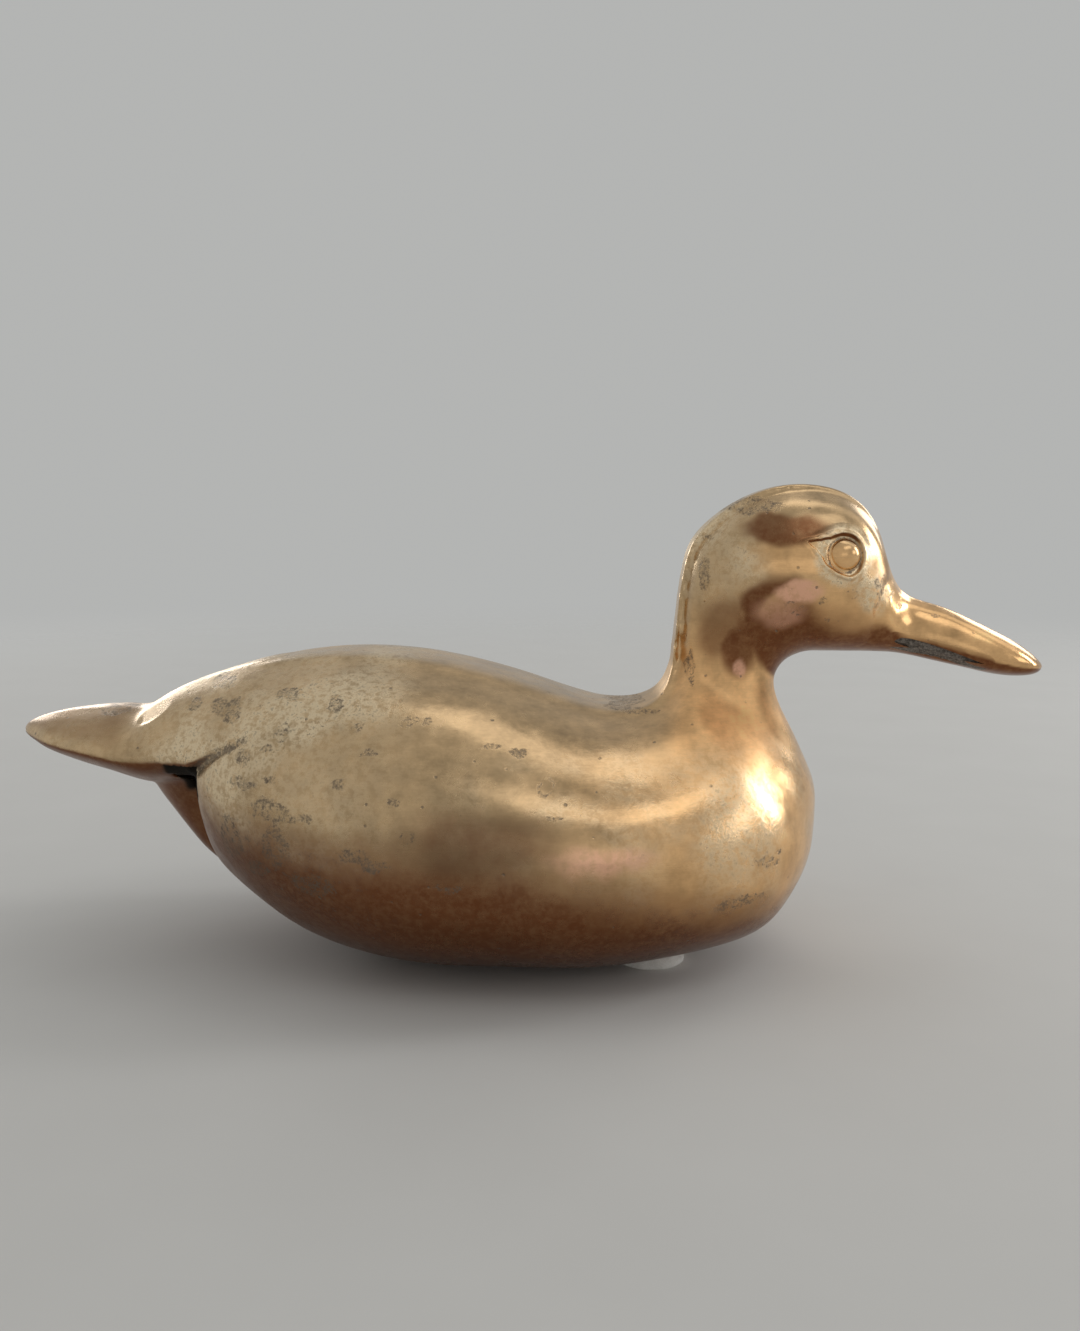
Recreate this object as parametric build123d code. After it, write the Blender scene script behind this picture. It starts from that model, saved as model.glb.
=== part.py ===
import os
from math import cos, hypot, pi, sin

from build123d import *

# Brass duck: a hollow cast swimming duck on felt pads, all sizes in millimetres.
# +X runs to the bill, +Y to the duck's left, +Z up. The origin lies on the surface that the duck
# stands on, below the middle of its length.

# Driving sizes of the body
body_length = 147.0
body_width = 100.0
body_height = 74.0
belly_clearance = 1.0

# Driving sizes of the neck and the throat
neck_depth = 25.0
neck_width = 25.0
neck_rise = 16.0
neck_flare = 7.1
throat_rise = 9.4

# Driving sizes of the head and bill
head_length = 50.5
head_width = 35.2
head_height = 39.6
bill_length = 36.1
bill_width = 18.6
bill_depth = 14.6

# Driving sizes of the rump, tail and stern
rump_length = 18.6
tail_length = 32.4
tail_width = 47.0
tail_crown = 10.0
tail_keel = 9.0
stern_length = 17.5
stern_width = 25.0

# Notch between the tail's root, the stern and the rear edge of the flank
notch_length = 7.5
notch_height = 6.5
notch_drop = 2.5
notch_bite = 0.6
notch_inner_offset = 4.5
notch_outer_offset = 21.0

# Casting wall, brazed joints, tenon and vent
wall = 3.5
seam_gap = 0.3
tail_gap = 0.3
tenon_width = 10.0
tenon_height = 8.0
tenon_root = 4.0
tenon_reach = 8.0
vent_radius = 4.0
vent_from_rear = 52.0
vent_offset = 16.0

# Eyes and mouth
eye_ball_radius = 4.4
eye_stand = 1.5
eye_groove_radius = 3.8
eye_groove_tube = 0.7
eye_groove_sink = 0.2
mouth_length = 20.0
mouth_height = 1.5
mouth_depth = 4.3

# Felt pads
pad_radius = 8.5
pad_room = 9.0
pad_offset = 9.2
front_pad_from_rear = 106.0
rear_pad_from_rear = 46.0

# How far cutting tools run past what they cut
overrun = 20.0

# Points on each half of a section, and how many head sections the hollow reaches through
section_points = 11
hollow_head_sections = 7

# Body sections from the rear wall to the root of the neck. Back and belly places are shares of the
# body's length and height, then come the half width as a share of half the body's width, the level
# of the widest place between belly and back, and the roundness below and above it (2 is an ellipse).
body_shares = [
    (0.000, 0.885, 0.000, 0.250, 0.470, 0.54, 1.5, 2.0),
    (0.034, 0.926, 0.034, 0.205, 0.600, 0.52, 1.7, 2.0),
    (0.082, 0.958, 0.082, 0.149, 0.715, 0.50, 1.85, 2.0),
    (0.150, 0.984, 0.150, 0.085, 0.826, 0.49, 2.1, 2.0),
    (0.245, 0.995, 0.245, 0.030, 0.925, 0.48, 2.3, 2.0),
    (0.367, 0.974, 0.367, 0.004, 0.985, 0.48, 2.5, 2.0),
    (0.503, 0.908, 0.503, 0.000, 1.000, 0.49, 2.5, 2.0),
    (0.585, 0.854, 0.612, 0.004, 0.990, 0.50, 2.5, 2.0),
    (0.636, 0.827, 0.694, 0.015, 0.970, 0.51, 2.4, 2.0),
    (0.670, 0.822, 0.769, 0.034, 0.940, 0.52, 2.3, 2.0),
    (0.697, 0.827, 0.844, 0.062, 0.890, 0.52, 2.2, 2.0),
    (0.718, 0.842, 0.910, 0.113, 0.830, 0.52, 2.1, 2.0),
    (0.733, 0.866, 0.954, 0.208, 0.760, 0.51, 2.0, 1.9),
    (0.744, 0.900, 0.983, 0.331, 0.660, 0.50, 2.0, 1.85),
    (0.750, 0.934, 0.992, 0.453, 0.530, 0.48, 2.0, 1.8),
    (0.754, 0.969, 0.991, 0.557, 0.410, 0.46, 2.0, 1.85),
]

# Neck sections. Places at the back are shares of the neck's depth and rise from the neck root,
# places at the front shares of the depth and of the rise plus the flare.
neck_shares = [
    (0.004, 0.19, 1.300, 0.264, 1.300, 0.47, 2.0, 1.9),
    (0.020, 0.41, 1.180, 0.545, 1.120, 0.49, 2.0, 2.0),
    (0.036, 0.69, 1.060, 0.797, 1.020, 0.50, 2.0, 2.0),
    (0.056, 1.00, 0.992, 1.000, 1.010, 0.50, 2.0, 2.0),
]

# Head sections, fanned about the throat. Places on top are shares of the head's length and height
# above the chin, places below shares of its length and of the throat's rise.
head_shares = [
    (0.020, 0.508, 0.463, -0.63, 0.767, 0.52, 2.0, 2.0),
    (0.057, 0.659, 0.487, -0.37, 0.852, 0.52, 2.0, 2.0),
    (0.147, 0.793, 0.519, -0.20, 0.926, 0.52, 2.0, 2.0),
    (0.283, 0.912, 0.560, -0.085, 0.977, 0.50, 2.0, 2.0),
    (0.448, 0.990, 0.612, -0.01, 1.000, 0.48, 2.0, 2.0),
    (0.616, 1.000, 0.675, 0.00, 0.989, 0.46, 2.1, 2.0),
    (0.764, 0.949, 0.754, 0.00, 0.932, 0.45, 2.1, 2.0),
    (0.869, 0.843, 0.834, 0.00, 0.835, 0.44, 2.1, 2.0),
    (0.931, 0.707, 0.899, 0.00, 0.733, 0.42, 2.1, 2.0),
    (0.970, 0.558, 0.954, -0.01, 0.631, 0.40, 2.2, 2.0),
]

# Bill sections: place along the bill, top and bottom as shares of its depth above the chin, then
# half width, widest level and roundness as above
bill_shares = [
    (0.011, 1.190, 0.003, -0.014, 1.030, 0.38, 2.2, 2.0),
    (0.080, 0.973, 0.080, -0.040, 0.930, 0.36, 2.2, 2.0),
    (0.183, 0.849, 0.183, -0.089, 0.890, 0.34, 2.2, 2.1),
    (0.330, 0.740, 0.330, -0.171, 0.930, 0.33, 2.2, 2.2),
    (0.501, 0.562, 0.501, -0.267, 0.990, 0.34, 2.2, 2.2),
    (0.668, 0.363, 0.668, -0.356, 0.990, 0.36, 2.2, 2.2),
    (0.806, 0.185, 0.806, -0.390, 0.892, 0.39, 2.2, 2.1),
    (0.911, 0.014, 0.911, -0.377, 0.667, 0.42, 2.1, 2.0),
    (0.972, -0.116, 0.972, -0.336, 0.387, 0.45, 2.0, 2.0),
    (1.000, -0.192, 1.000, -0.267, 0.172, 0.45, 2.0, 2.0),
]

# Rump sections ahead of the rear wall: place as a share of the body's length, then back, side edge
# and underside as shares of its height, and half width as a share of half its width
rump_front_shares = [
    (0.190, 0.959, 0.689, 0.527, 0.620),
    (0.136, 0.976, 0.689, 0.541, 0.646),
    (0.082, 0.965, 0.682, 0.547, 0.620),
    (0.027, 0.935, 0.673, 0.551, 0.560),
]

# Rump sections behind the rear wall: place as a share of the rump's length, the rest as before
rump_back_shares = [
    (0.108, 0.909, 0.666, 0.547, 0.506),
    (0.430, 0.878, 0.662, 0.541, 0.470),
    (0.753, 0.836, 0.661, 0.538, 0.446),
]

# Tail sections: place along the tail, crown and side edge as shares of the crown's height, depth
# of the keel as a share of the full keel, and half width as a share of half the tail's width
tail_shares = [
    (0.012, 1.03, 0.00, 0.956, 0.902),
    (0.167, 1.01, 0.05, 0.767, 0.843),
    (0.352, 0.99, 0.12, 0.589, 0.757),
    (0.537, 0.93, 0.19, 0.400, 0.647),
    (0.722, 0.84, 0.26, 0.189, 0.494),
    (0.861, 0.72, 0.31, -0.022, 0.306),
    (0.954, 0.59, 0.34, -0.200, 0.162),
    (0.991, 0.50, 0.36, -0.300, 0.077),
    (1.000, 0.46, 0.37, -0.333, 0.051),
]

# Stern sections from top to bottom: level as a share of the body's height, how far the stern
# stands out behind the rear wall as a share of its length, and half width
stern_shares = [
    (0.640, 1.300, 1.750),
    (0.610, 1.200, 1.450),
    (0.580, 1.100, 1.220),
    (0.546, 1.010, 1.060),
    (0.510, 0.925, 0.960),
    (0.473, 0.820, 0.880),
    (0.426, 0.680, 0.816),
    (0.378, 0.530, 0.768),
    (0.331, 0.370, 0.720),
    (0.290, 0.185, 0.660),
    (0.255, 0.000, 0.580),
]

rump_low_roundness_share = 1.6
rump_top_roundness_share = 1.9
tail_low_roundness_share = 1.5
tail_top_roundness_share = 1.7
neck_root_x_share = 0.755
neck_root_z_share = 0.969
neck_front_z_share = 0.557
tail_edge_share = 0.662
tail_joint_foot_share = 0.508
stern_front_share = 0.082
tenon_level_share = 0.40
eye_x_share = 0.727
eye_z_share = 0.588
mouth_x_share = 0.01
mouth_z_share = 0.15
mouth_slope_share = -0.26

# Places that follow from the sizes
overall_length = (
    tail_length + rump_length + neck_root_x_share * body_length
    + neck_shares[-1][0] * neck_depth + head_length + bill_length
)
tail_tip_x = -overall_length / 2
rump_end_x = tail_tip_x + tail_length
rear_x = rump_end_x + rump_length
belly_z = belly_clearance
tail_edge_z = belly_z + tail_edge_share * body_height
neck_root_x = rear_x + neck_root_x_share * body_length
neck_root_z = belly_z + neck_root_z_share * body_height
neck_front_z = belly_z + neck_front_z_share * body_height
nape_x = neck_root_x + neck_shares[-1][0] * neck_depth
chin_z = neck_front_z + neck_rise + neck_flare + throat_rise
bill_root_x = nape_x + head_length


def half_section(back, belly, half_width, widest, low, high):
    """Right half of one section, from the belly point round the side to the back point."""
    points = []
    for i in range(section_points):
        turn = pi * i / (section_points - 1)
        lower = turn < pi / 2
        power = 2 / (low if lower else high)
        rise = abs(cos(turn)) ** power
        up = widest * (1 - rise) if lower else widest + (1 - widest) * rise
        out = half_width * abs(sin(turn)) ** power if 0 < i < section_points - 1 else 0
        x = belly[0] + (back[0] - belly[0]) * up
        z = belly[1] + (back[1] - belly[1]) * up
        points.append((x, -out, z))
    side = Edge.make_spline(points, tangents=[(0, -1, 0), (0, 1, 0)])
    return Wire([side, Edge.make_line(points[-1], points[0])])


def skin_rows():
    """All sections of body, neck, head and bill in real places."""
    rows = []
    for bx, bz, lx, lz, width, widest, low, high in body_shares:
        back = (rear_x + bx * body_length, belly_z + bz * body_height)
        belly = (rear_x + lx * body_length, belly_z + lz * body_height)
        rows.append((back, belly, width * body_width / 2, widest, low, high))
    for bx, bz, lx, lz, width, widest, low, high in neck_shares:
        back = (neck_root_x + bx * neck_depth, neck_root_z + bz * neck_rise)
        front = (neck_root_x + lx * neck_depth, neck_front_z + lz * (neck_rise + neck_flare))
        rows.append((back, front, width * neck_width / 2, widest, low, high))
    for bx, bz, lx, lz, width, widest, low, high in head_shares:
        top = (nape_x + bx * head_length, chin_z + bz * head_height)
        chin = (nape_x + lx * head_length, chin_z + lz * throat_rise)
        rows.append((top, chin, width * head_width / 2, widest, low, high))
    for bx, bz, lx, lz, width, widest, low, high in bill_shares:
        top = (bill_root_x + bx * bill_length, chin_z + bz * bill_depth)
        under = (bill_root_x + lx * bill_length, chin_z + lz * bill_depth)
        rows.append((top, under, width * bill_width / 2, widest, low, high))
    return rows


def inset(row):
    """The same section one wall further in."""
    (bx, bz), (lx, lz), half_width, widest, low, high = row
    height = hypot(bx - lx, bz - lz)
    step_x = (bx - lx) * wall / height
    step_z = (bz - lz) * wall / height
    back = (bx - step_x, bz - step_z)
    belly = (lx + step_x, lz + step_z)
    return back, belly, half_width - wall, widest, low, high


def half_skin():
    return Solid.make_loft([half_section(*row) for row in skin_rows()])


def half_cavity():
    """The hollow reaches from behind the rear wall to the eyes."""
    last = len(body_shares) + len(neck_shares) + hollow_head_sections
    return Solid.make_loft([half_section(*inset(row)) for row in skin_rows()[1:last]])


def blade_section(x, crown_z, edge_z, keel_z, half_width, low, high):
    widest = (edge_z - keel_z) / (crown_z - keel_z)
    return half_section((x, crown_z), (x, keel_z), half_width, widest, low, high)


def half_blade():
    """Rump and tail blade as one form, which starts inside the body."""
    wires = []
    rump_places = [(rear_x + row[0] * body_length, row) for row in rump_front_shares]
    rump_places += [(rear_x - row[0] * rump_length, row) for row in rump_back_shares]
    for x, (_, crown, edge, keel, width) in rump_places:
        levels = [belly_z + share * body_height for share in (crown, edge, keel)]
        half_width = width * body_width / 2
        wires.append(blade_section(
            x, *levels, half_width, rump_low_roundness_share, rump_top_roundness_share))
    for along, crown, edge, keel, width in tail_shares:
        x = rump_end_x - along * tail_length
        crown_z = tail_edge_z + crown * tail_crown
        edge_z = tail_edge_z + edge * tail_crown
        keel_z = tail_edge_z - keel * tail_keel
        half_width = width * tail_width / 2
        wires.append(blade_section(
            x, crown_z, edge_z, keel_z, half_width, tail_low_roundness_share, tail_top_roundness_share))
    return Solid.make_loft(wires)


def both_sides(half):
    return half + mirror(half, about=Plane.XZ)


def stern():
    """Column below the tail, from its underside down to the belly, with a rounded rear."""
    front_x = rear_x + stern_front_share * body_length
    wires = []
    for level, out, width in stern_shares:
        z = belly_z + level * body_height
        back_x = rear_x - out * stern_length
        reach = (front_x - back_x) / 2
        side = width * stern_width / 2
        outline = Ellipse(max(reach, side), min(reach, side), rotation=0 if reach > side else 90)
        wires.append((Pos(front_x - reach, 0, z) * outline).wires()[0])
    return Solid.make_loft(wires)


def notch():
    """Undercut on the right side, above the stern and behind the flank."""
    top_z = tail_edge_z - notch_drop
    front_x = rear_x + notch_bite
    corners = [(front_x, top_z), (rear_x - notch_length, top_z), (front_x, top_z - notch_height)]
    side = Polyline(*[(x, 0, z) for x, z in corners], close=True)
    cut = extrude(make_face(side), amount=notch_outer_offset - notch_inner_offset, dir=(0, -1, 0))
    return Pos(0, -notch_inner_offset, 0) * cut


def tail_zone(gap):
    """Everything behind the rear wall and below the slanted joint, moved back by a gap."""
    joint_top = (rump_end_x, tail_edge_z + tail_shares[0][1] * tail_crown)
    foot = (rear_x, belly_z + tail_joint_foot_share * body_height)
    run = joint_top[0] - foot[0]
    rise = joint_top[1] - foot[1]
    slant = hypot(run, rise)
    foot_x = foot[0] - gap
    foot_z = foot[1] - (gap * slant - gap * rise) / abs(run)
    reach = overall_length / slant
    far_x = foot_x + run * reach
    far_z = foot_z + rise * reach
    corners = [
        (foot_x, foot_z), (foot_x, -overrun), (far_x - overrun, -overrun),
        (far_x - overrun, far_z), (far_x, far_z),
    ]
    side = Polyline(*[(x, 0, z) for x, z in corners], close=True)
    return extrude(make_face(side), amount=body_width, dir=(0, 1, 0), both=True)


def tenon():
    """Block that ties the stern to the rear wall."""
    length = tenon_root + tenon_reach
    middle_x = rear_x + (tenon_reach - tenon_root) / 2
    middle_z = belly_z + tenon_level_share * body_height
    return Pos(middle_x, 0, middle_z) * Box(length, tenon_width, tenon_height)


def vent():
    """Round hole through the belly of the left half, and the plug that fills it."""
    height = wall + 2 * overrun
    return Pos(rear_x + vent_from_rear, vent_offset, wall / 2) * Cylinder(vent_radius, height)


def eye_seat(skin):
    """Place and outward direction of the right eye on the skin."""
    x = nape_x + eye_x_share * head_length
    z = chin_z + eye_z_share * head_height
    hits = skin.find_intersection_points(Axis((x, -head_width, z), (0, 1, 0)))
    point, normal = min(hits, key=lambda hit: hit[0].Y)
    if normal.Y > 0:
        normal = -normal
    return point, normal


def with_eye(body, skin):
    point, normal = eye_seat(skin)
    groove_plane = Plane(origin=point - normal * eye_groove_sink, z_dir=normal)
    groove = groove_plane * Torus(eye_groove_radius, eye_groove_tube)
    centre = point - normal * (eye_ball_radius - eye_stand)
    ball = Pos(centre.X, centre.Y, centre.Z) * Sphere(eye_ball_radius)
    return body - groove + ball


def mouth():
    """Leaf-shaped groove between the mandibles on the right side."""
    rear = Vector(bill_root_x + mouth_x_share * bill_length, 0, chin_z + mouth_z_share * bill_depth)
    along = Vector(1, 0, mouth_slope_share).normalized()
    across = Vector(-along.Z, 0, along.X)
    front = rear + along * mouth_length
    middle = rear + along * (mouth_length / 3)
    upper = ThreePointArc(rear, middle + across * (mouth_height / 2), front)
    lower = ThreePointArc(front, middle - across * (mouth_height / 2), rear)
    leaf = make_face([upper, lower])
    cut = extrude(leaf, amount=bill_width, dir=(0, -1, 0))
    return Pos(0, mouth_depth - bill_width / 2, 0) * cut


def felt_pad(from_rear, offset, skins):
    """Round felt pad, cut to the belly that it is stuck to."""
    pad = Pos(rear_x + from_rear, offset, pad_room / 2) * Cylinder(pad_radius, pad_room)
    for skin in skins:
        pad = pad - skin
    return pad


def build():
    blade = half_blade()
    skin = half_skin()
    zone = tail_zone(0)
    outer = skin + (blade - zone) - notch()
    hollow = outer - half_cavity()
    slab = Pos(0, 0, chin_z) * Box(2 * overall_length, seam_gap, 2 * overall_length)
    hole = vent()
    peg = tenon()

    right = with_eye(hollow - slab - peg, skin) - mouth()
    left = mirror(right, about=Plane.XZ)
    plug = left & hole
    seam = both_sides(hollow & slab) - peg

    tail_form = both_sides(blade) + stern() - both_sides(notch())
    inner_zone = tail_zone(tail_gap)
    tail = (tail_form & inner_zone) + peg
    tail_braze = (tail_form & zone) - inner_zone - peg

    skins = [outer, mirror(outer, about=Plane.XZ)]
    return {
        "right_shell": right,
        "left_shell": left - plug,
        "seam_braze": seam,
        "tail_casting": tail,
        "tail_braze": tail_braze,
        "vent_plug": plug,
        "felt_pad_front_right": felt_pad(front_pad_from_rear, -pad_offset, skins),
        "felt_pad_front_left": felt_pad(front_pad_from_rear, pad_offset, skins),
        "felt_pad_rear": felt_pad(rear_pad_from_rear, 0, skins),
    }


os.makedirs("parts", exist_ok=True)
for node, shape in build().items():
    print(node, "solids", len(shape.solids()), "volume", round(shape.volume, 2))
    export_step(shape, f"parts/{node}.step")
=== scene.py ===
from math import cos, hypot, pi, radians, sin

import bmesh
import bpy
import numpy as np
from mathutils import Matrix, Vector
from mathutils.bvhtree import BVHTree


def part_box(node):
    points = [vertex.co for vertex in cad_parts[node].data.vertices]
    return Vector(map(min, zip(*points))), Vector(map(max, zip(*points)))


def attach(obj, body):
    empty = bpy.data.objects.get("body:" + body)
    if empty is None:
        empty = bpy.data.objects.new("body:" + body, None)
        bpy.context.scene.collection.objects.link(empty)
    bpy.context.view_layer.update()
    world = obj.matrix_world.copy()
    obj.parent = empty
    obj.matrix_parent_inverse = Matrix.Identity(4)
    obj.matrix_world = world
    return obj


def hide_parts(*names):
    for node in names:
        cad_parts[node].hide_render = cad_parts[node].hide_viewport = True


mm = 0.001

# Meshes: voxels in millimetres, rounds of smoothing and the shares of its steps in and out
skin_voxel = 0.6
cavity_voxel = 1.6
smooth_rounds = 12
fine_rounds = 14
eye_smooth_rounds = 2
smooth_step_in = 0.60
smooth_step_out = 0.57
rod_segments = 64

# Reach from the skin, in millimetres, within which a vertex of the castings is on their outside
outside_reach = 1.1

# Shading: angle in degrees above which an edge is sharp, how well a face has to point the skin's
# way, how close it has to lie in millimetres, and the area of a sliver in square millimetres
sharp_angle = 40
facing_skin = 0.55
skin_gap = 0.03
sliver_area = 0.004

# Noise: factors and shifts that scramble cell and seed, the mask of the result, and the origin
cell_factors = (73856093, 19349663, 83492791)
seed_factor = 2654435
seed_limit = 4294967291
mix_factor = 1274126177
first_shift = 13
last_shift = 16
fraction_mask = 0xFFFFFF
noise_origin = 500.0

# A distance beyond everything, and a length that stands in for zero where one divides
far_away = 1e9
smallest = 1e-12

# Joints of the castings, in millimetres, as in the CAD model
rear_wall_x = -73.99
joint_foot_z = 38.59
joint_top_x = -92.59
joint_top_z = 60.29
tail_joint_gap = 0.3
tenon_low = (-77.99, -5.0, 26.6)
tenon_high = (-65.99, 5.0, 34.6)
plug_clearance = 0.08

# Cutters, in millimetres: how far they reach beyond the castings
far = 200.0
tail_zone_length = 60
tail_zone_foot_z = -20
tail_zone_half_width = 80
vent_overrun = 10

# Eyes, in millimetres: place on the side of the head, then the sizes of ball, ditch and lids
eye_x = 74.8
eye_z = 98.1
eye_side_y = 6
eye_lowest_z = 85
eye_ball_radius = 3.55
eye_ball_sphere = 4.3
eye_sink = 0.5
eye_ditch_offset = 0.4
eye_ditch_width = 0.6
eye_ditch_depth = 0.3
lid_height = 0.30
lid_width = 0.60
lid_inner_share = 0.84
lid_fold_offset = 1.25
lid_fold_width = 0.7
lid_fold_depth = 0.30

# The fold above the lids fades in and out between these angles, in degrees
lid_fold_front = (12, 40)
lid_fold_rear = (160, 128)

# Reaches from the eye's middle, in millimetres: the whole eye, the head that is levelled under it,
# the rings that give its direction and its level, and the fades of relief and smoothing
eye_reach = 13
eye_flat_reach = 6.4
eye_flat_fade = 1.2
eye_axes_ring = (6.5, 9.5)
eye_level_ring = (6.3, 9.5)
eye_level_front = 6.5
eye_relief_fade = (12.5, 10.5)
eye_smooth_fade = (8.5, 7.0)

# Zones of the finer meshes, in millimetres
bill_start_x = 84
eye_fine_reach = 11.5
eye_finest_reach = 8.0
crease_fine_reach = 3.5
mouth_finest_reach = 2.6

# Outline of the lids seen from the side: degrees from the bill's side over the top, and radius
lid_outline = [
    (0, 4.4), (30, 4.6), (60, 4.9), (90, 4.95), (120, 5.1), (140, 5.6), (155, 7.2), (166, 10.0),
    (175, 7.9), (190, 6.5), (209, 6.1), (229, 5.5), (257, 5.4), (280, 5.7), (302, 5.4), (330, 4.6),
    (360, 4.4),
]

# Mouth, in millimetres: the leaf-shaped groove on the side of the bill, with its upper and lower
# edges as heights above and below the line from its rear to its front end
mouth_rear = (88.2, 77.9)
mouth_front = (109.2, 72.6)
mouth_upper = [
    (0.0, 0.0), (0.015, 0.5), (0.06, 1.15), (0.16, 1.5), (0.35, 1.45), (0.55, 1.15), (0.75, 0.65),
    (1.0, 0.0),
]
mouth_lower = [
    (0.9, -0.3), (0.75, -0.55), (0.55, -0.7), (0.35, -0.7), (0.18, -0.6), (0.06, -0.4),
    (0.015, -0.2),
]
mouth_inner_y = 6.9
mouth_half_cut = 6
mouth_start_x = 85
mouth_top_z = 81
mouth_fill_reach = 2.3
mouth_fill_rounds = 160

# Dip between the cheek and the bill, in millimetres, on the right side: place, then depth
cheek_dip = [
    ((87.4, -7.5, 93.0), 0.2), ((85.4, -11.7, 91.0), 0.6), ((83.6, -13.4, 85.5), 0.8),
    ((83.0, -12.0, 79.5), 0.5), ((82.2, -8.7, 77.4), 0.1),
]
cheek_dip_width = 1.5

# Crease above the wing tip, in millimetres, on the right side: place, then depth
crease = [
    ((-73.2, -25.4, 49.3), 1.0), ((-70.6, -27.4, 51.0), 0.9), ((-67.2, -29.5, 53.4), 0.7),
    ((-62.6, -31.3, 55.9), 0.4), ((-56.9, -32.8, 58.2), 0.1), ((-52.0, -33.5, 59.8), 0.0),
]
crease_width = 1.2

# Swelling below the crease, in millimetres: share of the crease's depth, where it begins and ends
# away from the crease, and its highest level
crease_swell = 0.12
crease_swell_start = (0.3, 1.6)
crease_swell_end = (4.0, 1.8)
crease_swell_top_z = 59

# Step down behind the tail's joint, in millimetres: depth, where it begins and ends behind the
# joint, and the levels between which it grows
tail_step_depth = 0.10
tail_step_start = (-1.5, 1.5)
tail_step_end = (7, 1.5)
tail_step_levels = (44, 50)

# Filed facet where the body steps down to the tail, in millimetres: its three corners, its reach
# and how it fades there and at the joint
facet = [(-90.4, -7.7, 60.6), (-84.9, -8.2, 63.6), (-85.1, -17.3, 59.3)]
facet_reach = 7.5
facet_fade = 2
facet_joint_fade = (0.4, -0.8)

# Hand-worked waves: height and length in millimetres, seed and octaves
hand_waves = [(0.12, 18, 3, 1), (0.04, 6, 7, 2)]

# Where these waves are calmer: share, and where that begins and is reached in millimetres
eye_calm = 0.9
eye_calm_fade = (9, 7)
bill_calm = 0.8
bill_calm_fade = (84, 88)
chest_calm = 0.6
chest_calm_fade = (25, 45)

# Camera of the photograph, in metres and degrees, with lens and sensor in millimetres
camera_place = (0.0201, -0.2916, 0.1083)
camera_yaw = 3.0
camera_pitch = 7.38
camera_lens = 32.46
camera_sensor = 36
camera_nearest = 0.01

# The frame and its box
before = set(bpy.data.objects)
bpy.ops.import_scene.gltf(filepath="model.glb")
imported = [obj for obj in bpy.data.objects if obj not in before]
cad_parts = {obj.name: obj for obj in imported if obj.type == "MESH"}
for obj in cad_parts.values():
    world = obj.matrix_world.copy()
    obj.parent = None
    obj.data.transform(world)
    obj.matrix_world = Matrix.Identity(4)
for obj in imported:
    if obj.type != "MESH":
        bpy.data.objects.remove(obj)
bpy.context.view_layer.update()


# Meshes as arrays, in millimetres

def read(items, name, kind, width=1):
    """One property of a mesh's items as an array, with that many numbers for each item."""
    flat = np.empty(len(items) * width, kind)
    items.foreach_get(name, flat)
    return flat.reshape(-1, width) if width > 1 else flat


def points_of(mesh):
    return read(mesh.vertices, "co", np.float32, 3).astype(float) / mm


def set_points(mesh, points):
    mesh.vertices.foreach_set("co", (points * mm).astype(np.float32).ravel())
    mesh.update()


def edges_of(mesh):
    return read(mesh.edges, "vertices", np.int32, 2)


def normals_of(mesh):
    return read(mesh.vertex_normals, "vector", np.float32, 3).astype(float)


def spread(values, edges, counts):
    """Mean of each vertex's neighbours."""
    size = len(values)
    columns = values.reshape(size, -1)
    out = np.empty_like(columns)
    for i in range(columns.shape[1]):
        out[:, i] = np.bincount(edges[:, 0], columns[edges[:, 1], i], size)
        out[:, i] += np.bincount(edges[:, 1], columns[edges[:, 0], i], size)
    return (out / counts[:, None]).reshape(values.shape)


def neighbour_counts(edges, size):
    return np.maximum(np.bincount(edges.ravel(), minlength=size), 1).astype(float)


def smoothed(points, edges, rounds, share=1.0):
    """Evens out the facets without shrinking the form: a step in, then almost the same step out."""
    counts = neighbour_counts(edges, len(points))
    for _ in range(rounds):
        points = points + smooth_step_in * share * (spread(points, edges, counts) - points)
        points = points - smooth_step_out * share * (spread(points, edges, counts) - points)
    return points


# Numbers that fade over the surface

def ramp(low, high, values):
    """0 at low, 1 at high, and a smooth S between them."""
    t = np.clip((values - low) / (high - low), 0, 1)
    return t * t * (3 - 2 * t)


def bell(values, width):
    return np.exp(-(values / width) ** 2)


def lattice(cells, seed):
    """A repeatable number from 0 to 1 for each lattice cell."""
    mixed = np.uint32(seed * seed_factor % seed_limit)
    for axis, factor in enumerate(cell_factors):
        mixed = mixed ^ cells[:, axis].astype(np.uint32) * np.uint32(factor)
    mixed = (mixed ^ (mixed >> np.uint32(first_shift))) * np.uint32(mix_factor)
    mixed = mixed ^ (mixed >> np.uint32(last_shift))
    return (mixed & np.uint32(fraction_mask)).astype(float) / fraction_mask


def waves(points, size, seed, octaves=1):
    """Smooth noise about zero with features of the given size in millimetres."""
    total = np.zeros(len(points))
    weight, reach = 1.0, 0.0
    for octave in range(octaves):
        place = points / size * 2 ** octave + noise_origin
        cell = np.floor(place).astype(np.int64)
        part = place - cell
        part = part * part * (3 - 2 * part)
        value = np.zeros(len(points))
        for corner in range(8):
            step = np.array([corner & 1, corner >> 1 & 1, corner >> 2 & 1])
            share = np.prod(np.where(step, part, 1 - part), axis=1)
            value += share * lattice(cell + step, seed + octave)
        total += weight * (2 * value - 1)
        reach += weight
        weight *= 0.5
    return total / reach


def along_path(points, path):
    """Distance from each point to a path of (place, value) pairs, and the path's value there."""
    nearest = np.full(len(points), far_away)
    values = np.zeros(len(points))
    for (start, first), (end, last) in zip(path, path[1:]):
        start, run = np.array(start), np.array(end) - np.array(start)
        t = np.clip((points - start) @ run / (run @ run), 0, 1)
        distance = np.linalg.norm(points - start - t[:, None] * run, axis=1)
        closer = distance < nearest
        nearest = np.where(closer, distance, nearest)
        values = np.where(closer, first + t * (last - first), values)
    return nearest, values


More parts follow.
